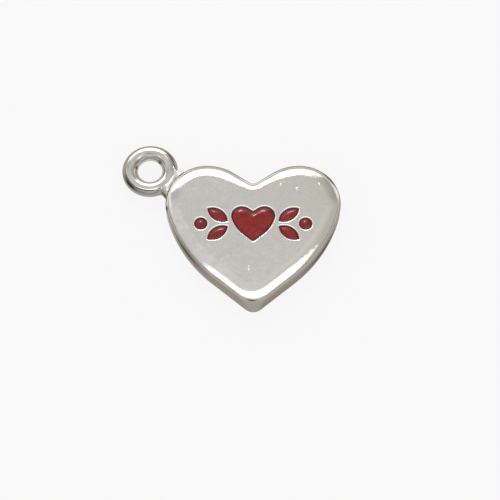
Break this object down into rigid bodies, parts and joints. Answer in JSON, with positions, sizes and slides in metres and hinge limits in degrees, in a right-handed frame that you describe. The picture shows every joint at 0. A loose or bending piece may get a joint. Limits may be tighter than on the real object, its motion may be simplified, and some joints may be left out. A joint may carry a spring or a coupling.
{
  "type": "heart charm",
  "caption": "Flat-backed plated metal heart charm with a rounded pillow edge, a fixed hanging loop at one lobe and a band of red enamel set in sunk cells.",
  "frame": {"origin": "on the flat back face, on the heart's axis, half way between the tip and the tops of the lobes", "axes": "the charm lies on its back: +Z points out of the face, +Y runs from the tip to the lobes, +X runs to the right lobe, away from the loop"},
  "size_m": [0.0163, 0.0131, 0.0021],
  "materials": {
    "silver_plate": "polished",
    "red_enamel": "gloss"
  },
  "bodies": {
    "root": {"heart_body": "silver_plate", "hanging_loop": "silver_plate", "enamel_heart": "red_enamel", "enamel_leaf_upper_left": "red_enamel", "enamel_leaf_lower_left": "red_enamel", "enamel_leaf_upper_right": "red_enamel", "enamel_leaf_lower_right": "red_enamel", "enamel_dot_left": "red_enamel", "enamel_dot_right": "red_enamel"}
  },
  "joints": []
}
